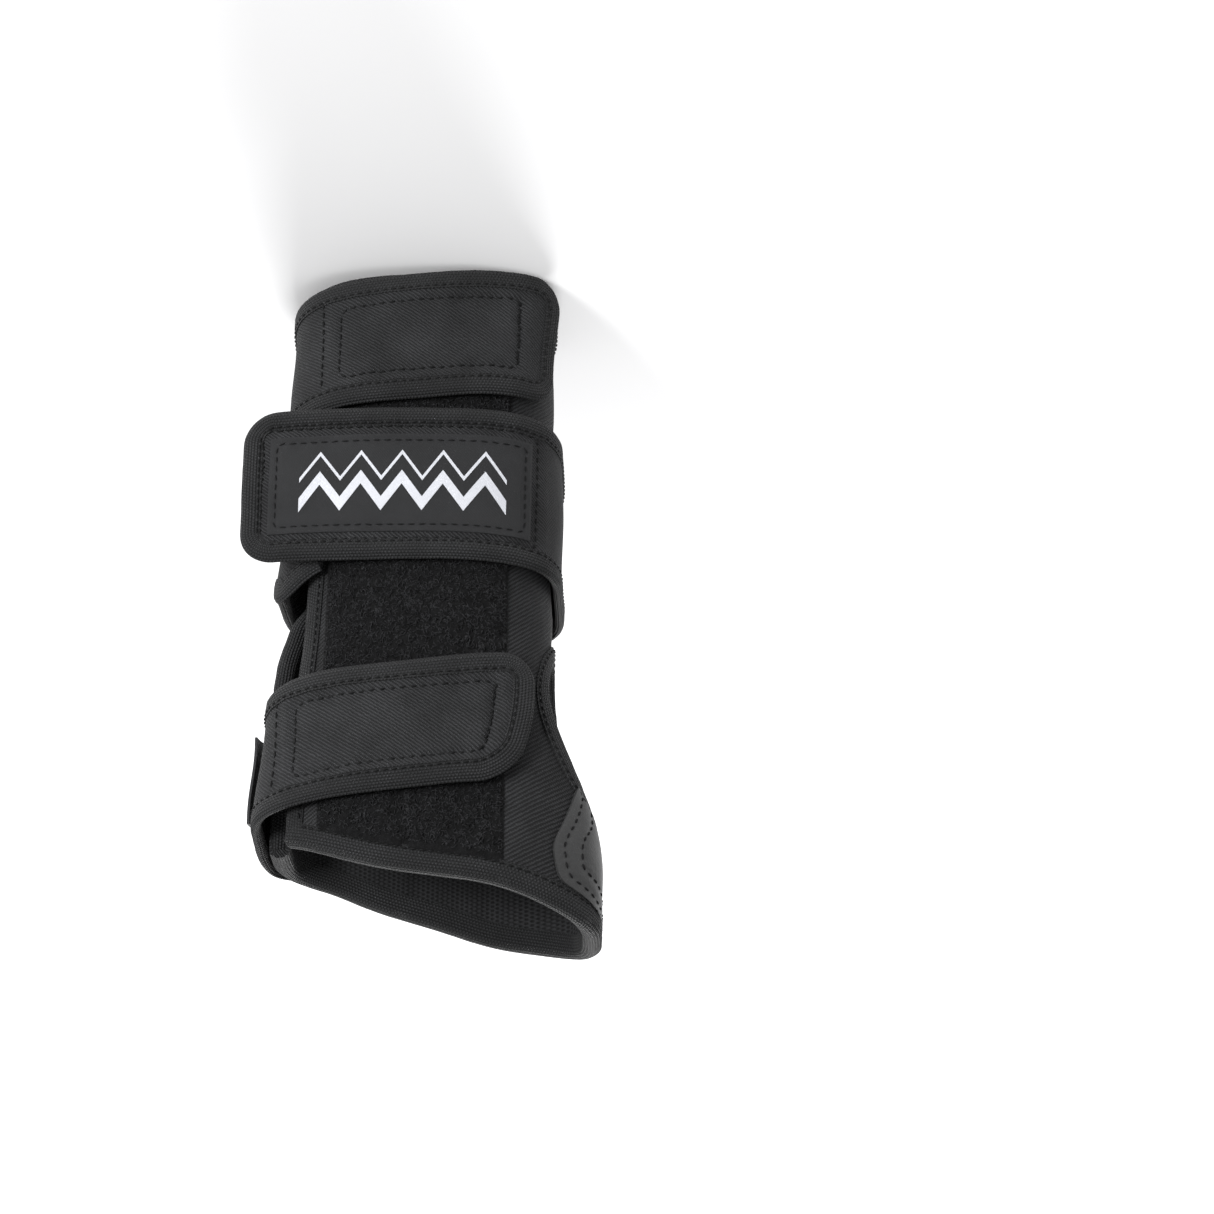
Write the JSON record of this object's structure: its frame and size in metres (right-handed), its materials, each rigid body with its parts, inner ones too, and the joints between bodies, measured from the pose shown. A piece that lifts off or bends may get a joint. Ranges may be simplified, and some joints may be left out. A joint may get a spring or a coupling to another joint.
{
  "type": "wrist guard",
  "caption": "Padded right-hand wrist guard with a bowed palm splint, leather pockets, a thumb hole and wrap-round hook-and-loop straps.",
  "frame": {"origin": "centre of the cuff's lower rim, on the plane the guard stands on", "axes": "+Z along the forearm from cuff to fingers, -Y the back of the hand, +Y the palm, -X the thumb, +X the little finger"},
  "size_m": [0.1101, 0.0766, 0.2134],
  "materials": {
    "back_stay": "moulded",
    "back_face_fabric": "twill nylon",
    "palm_face_fabric": "twill nylon",
    "back_foam": "foam",
    "palm_foam": "foam",
    "mesh_lining": "knitted mesh",
    "cuff_tape": "ribbed binding tape",
    "hand_end_tape": "ribbed binding tape",
    "slit_tape_back": "ribbed binding tape",
    "slit_tape_palm": "ribbed binding tape",
    "thumb_hole_tape": "ribbed binding tape",
    "loop_panel": "loop pile",
    "thumb_patch": "grained synthetic leather",
    "palm_leather_base": "synthetic leather",
    "palm_leather_cover": "grained synthetic leather",
    "palm_splint": "glossy moulded plastic",
    "side_label": "woven label, no text",
    "cuff_strap": "twill nylon",
    "cuff_strap_tape": "ribbed binding tape",
    "cuff_strap_root": "twill nylon",
    "cuff_strap_root_tape": "ribbed binding tape",
    "cuff_strap_hook": "hook pile",
    "hand_strap": "twill nylon",
    "hand_strap_tape": "ribbed binding tape",
    "hand_strap_root": "twill nylon",
    "hand_strap_root_tape": "ribbed binding tape",
    "hand_strap_hook": "hook pile",
    "wrap_strap_end": "woven elastic",
    "wrap_strap_end_tape": "ribbed binding tape",
    "wrap_strap_hook": "hook pile",
    "woven_patch": "smooth patch, no text",
    "wrap_strap_run": "woven elastic",
    "wrap_strap_run_tape": "ribbed binding tape"
  },
  "bodies": {
    "sleeve": {"back_stay": "back_stay", "back_face_fabric": "back_face_fabric", "palm_face_fabric": "palm_face_fabric", "back_foam": "back_foam", "palm_foam": "palm_foam", "mesh_lining": "mesh_lining", "cuff_tape": "cuff_tape", "hand_end_tape": "hand_end_tape", "slit_tape_back": "slit_tape_back", "slit_tape_palm": "slit_tape_palm", "thumb_hole_tape": "thumb_hole_tape", "loop_panel": "loop_panel", "thumb_patch": "thumb_patch", "palm_leather_base": "palm_leather_base", "palm_leather_cover": "palm_leather_cover", "side_label": "side_label", "cuff_strap_root": "cuff_strap_root", "cuff_strap_root_tape": "cuff_strap_root_tape", "hand_strap_root": "hand_strap_root", "hand_strap_root_tape": "hand_strap_root_tape", "wrap_strap_run": "wrap_strap_run", "wrap_strap_run_tape": "wrap_strap_run_tape"},
    "cuff_strap": {"cuff_strap": "cuff_strap", "cuff_strap_tape": "cuff_strap_tape", "cuff_strap_hook": "cuff_strap_hook"},
    "hand_strap": {"hand_strap": "hand_strap", "hand_strap_tape": "hand_strap_tape", "hand_strap_hook": "hand_strap_hook"},
    "wrap_strap": {"wrap_strap_end": "wrap_strap_end", "wrap_strap_end_tape": "wrap_strap_end_tape", "wrap_strap_hook": "wrap_strap_hook", "woven_patch": "woven_patch"},
    "splint": {"palm_splint": "palm_splint"}
  },
  "joints": [
    {"name": "cuff_strap_hinge", "type": "hinge", "parent": "sleeve", "child": "cuff_strap", "pos_m": [0.034, -0.02764, 0.00568], "axis": [0, 0.0172, 0.9999], "range_deg": [0, 150]},
    {"name": "hand_strap_hinge", "type": "hinge", "parent": "sleeve", "child": "hand_strap", "pos_m": [0.041, -0.0235, 0.1395], "axis": [0, -0.0509, 0.9987], "range_deg": [0, 150]},
    {"name": "wrap_strap_hinge", "type": "hinge", "parent": "sleeve", "child": "wrap_strap", "pos_m": [-0.0426, -0.00813, 0.051], "axis": [0, 0, -1], "range_deg": [0, 150]},
    {"name": "palm_splint_slide", "type": "slide", "parent": "sleeve", "child": "splint", "axis": [0, 0, -1], "range_m": [0, 0.006]}
  ]
}
